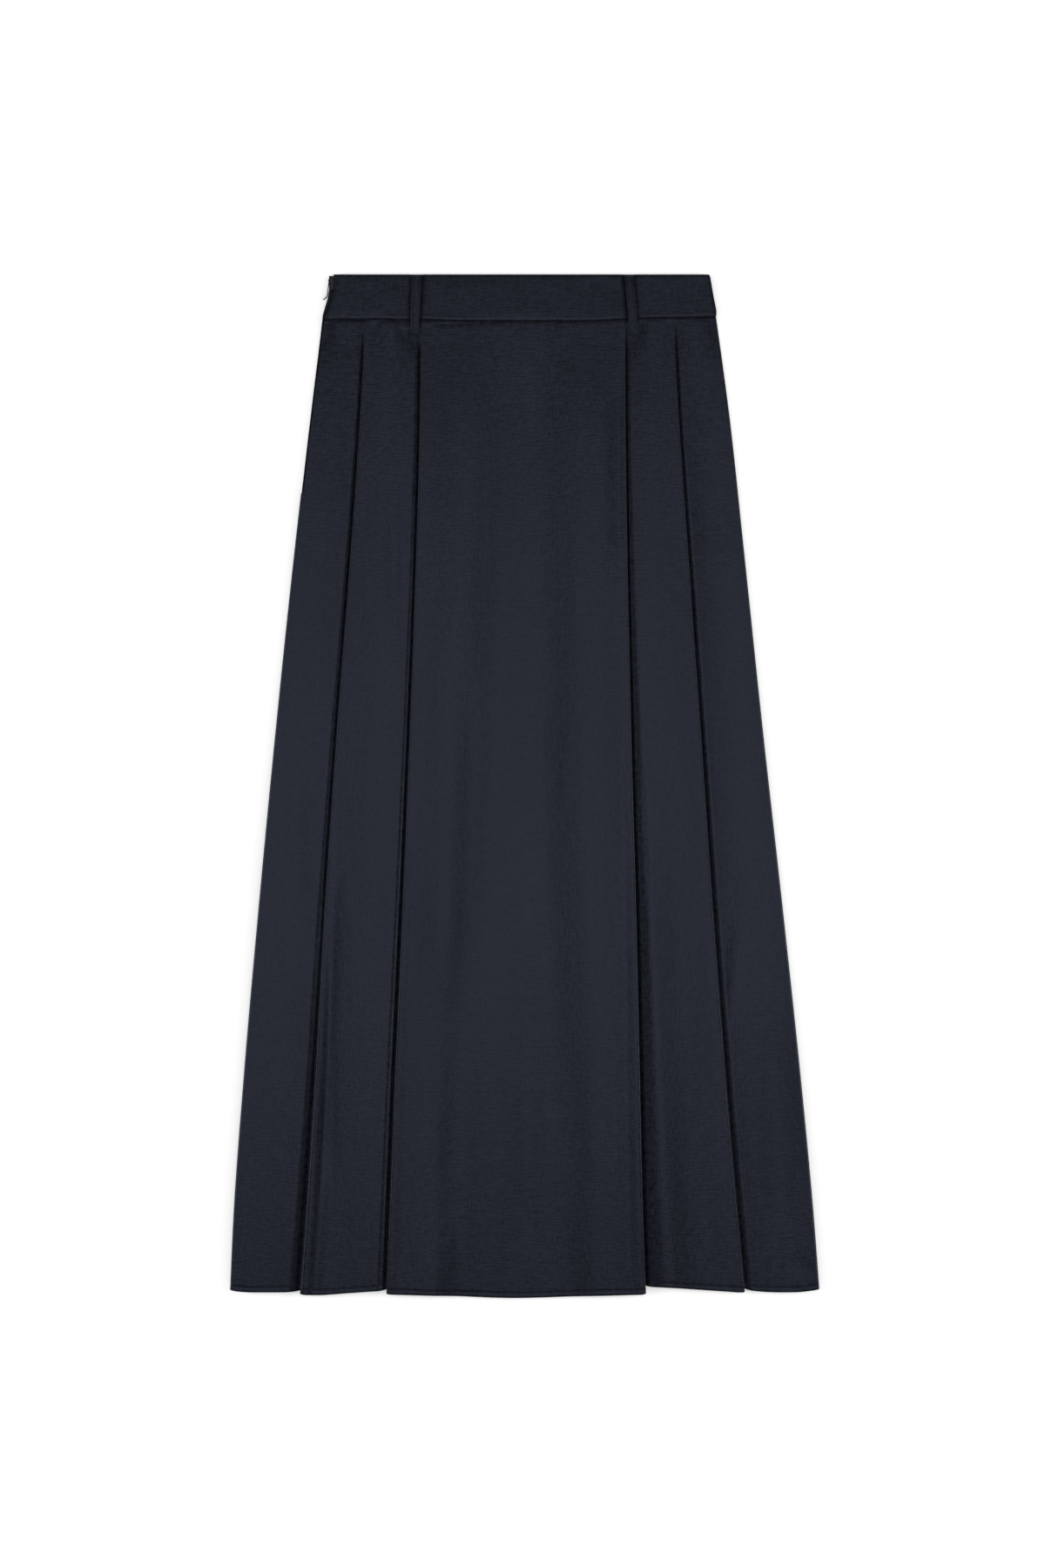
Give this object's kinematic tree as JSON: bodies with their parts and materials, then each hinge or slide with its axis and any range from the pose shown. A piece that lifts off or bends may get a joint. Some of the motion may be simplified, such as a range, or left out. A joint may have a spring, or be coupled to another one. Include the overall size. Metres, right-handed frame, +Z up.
{
  "type": "pleated skirt",
  "caption": "Long satin skirt with outward knife pleats, a contoured waistband, belt loops and a side zip, laid flat with its front up.",
  "frame": {"origin": "middle of the laid-out skirt's bounding box, at the table it lies on", "axes": "+X to the right across the skirt as seen from above, +Y from the hem to the waist, +Z up off the table through the front"},
  "size_m": [0.5402, 0.9397, 0.0095],
  "materials": {
    "skirt_satin": "navy satin with a soft low sheen",
    "band_satin": "navy satin over interfacing, nearly matte",
    "zip_coil": "black woven tape and moulded coil",
    "zip_metal": "black enamelled metal"
  },
  "bodies": {
    "skirt": {"skirt_front": "skirt_satin", "skirt_back": "skirt_satin", "waistband_front": "band_satin", "waistband_back": "band_satin", "belt_loop_left": "band_satin", "belt_loop_right": "band_satin", "zip_chain": "zip_coil", "zip_slider": "zip_metal"},
    "pull_tab": {"zip_pull": "zip_metal"}
  },
  "joints": [
    {"name": "pull_tab_swing", "type": "hinge", "parent": "skirt", "child": "pull_tab", "pos_m": [-0.1796, 0.4644, 0.0022], "axis": [0, 0, -1], "range_deg": [0, 150]}
  ]
}
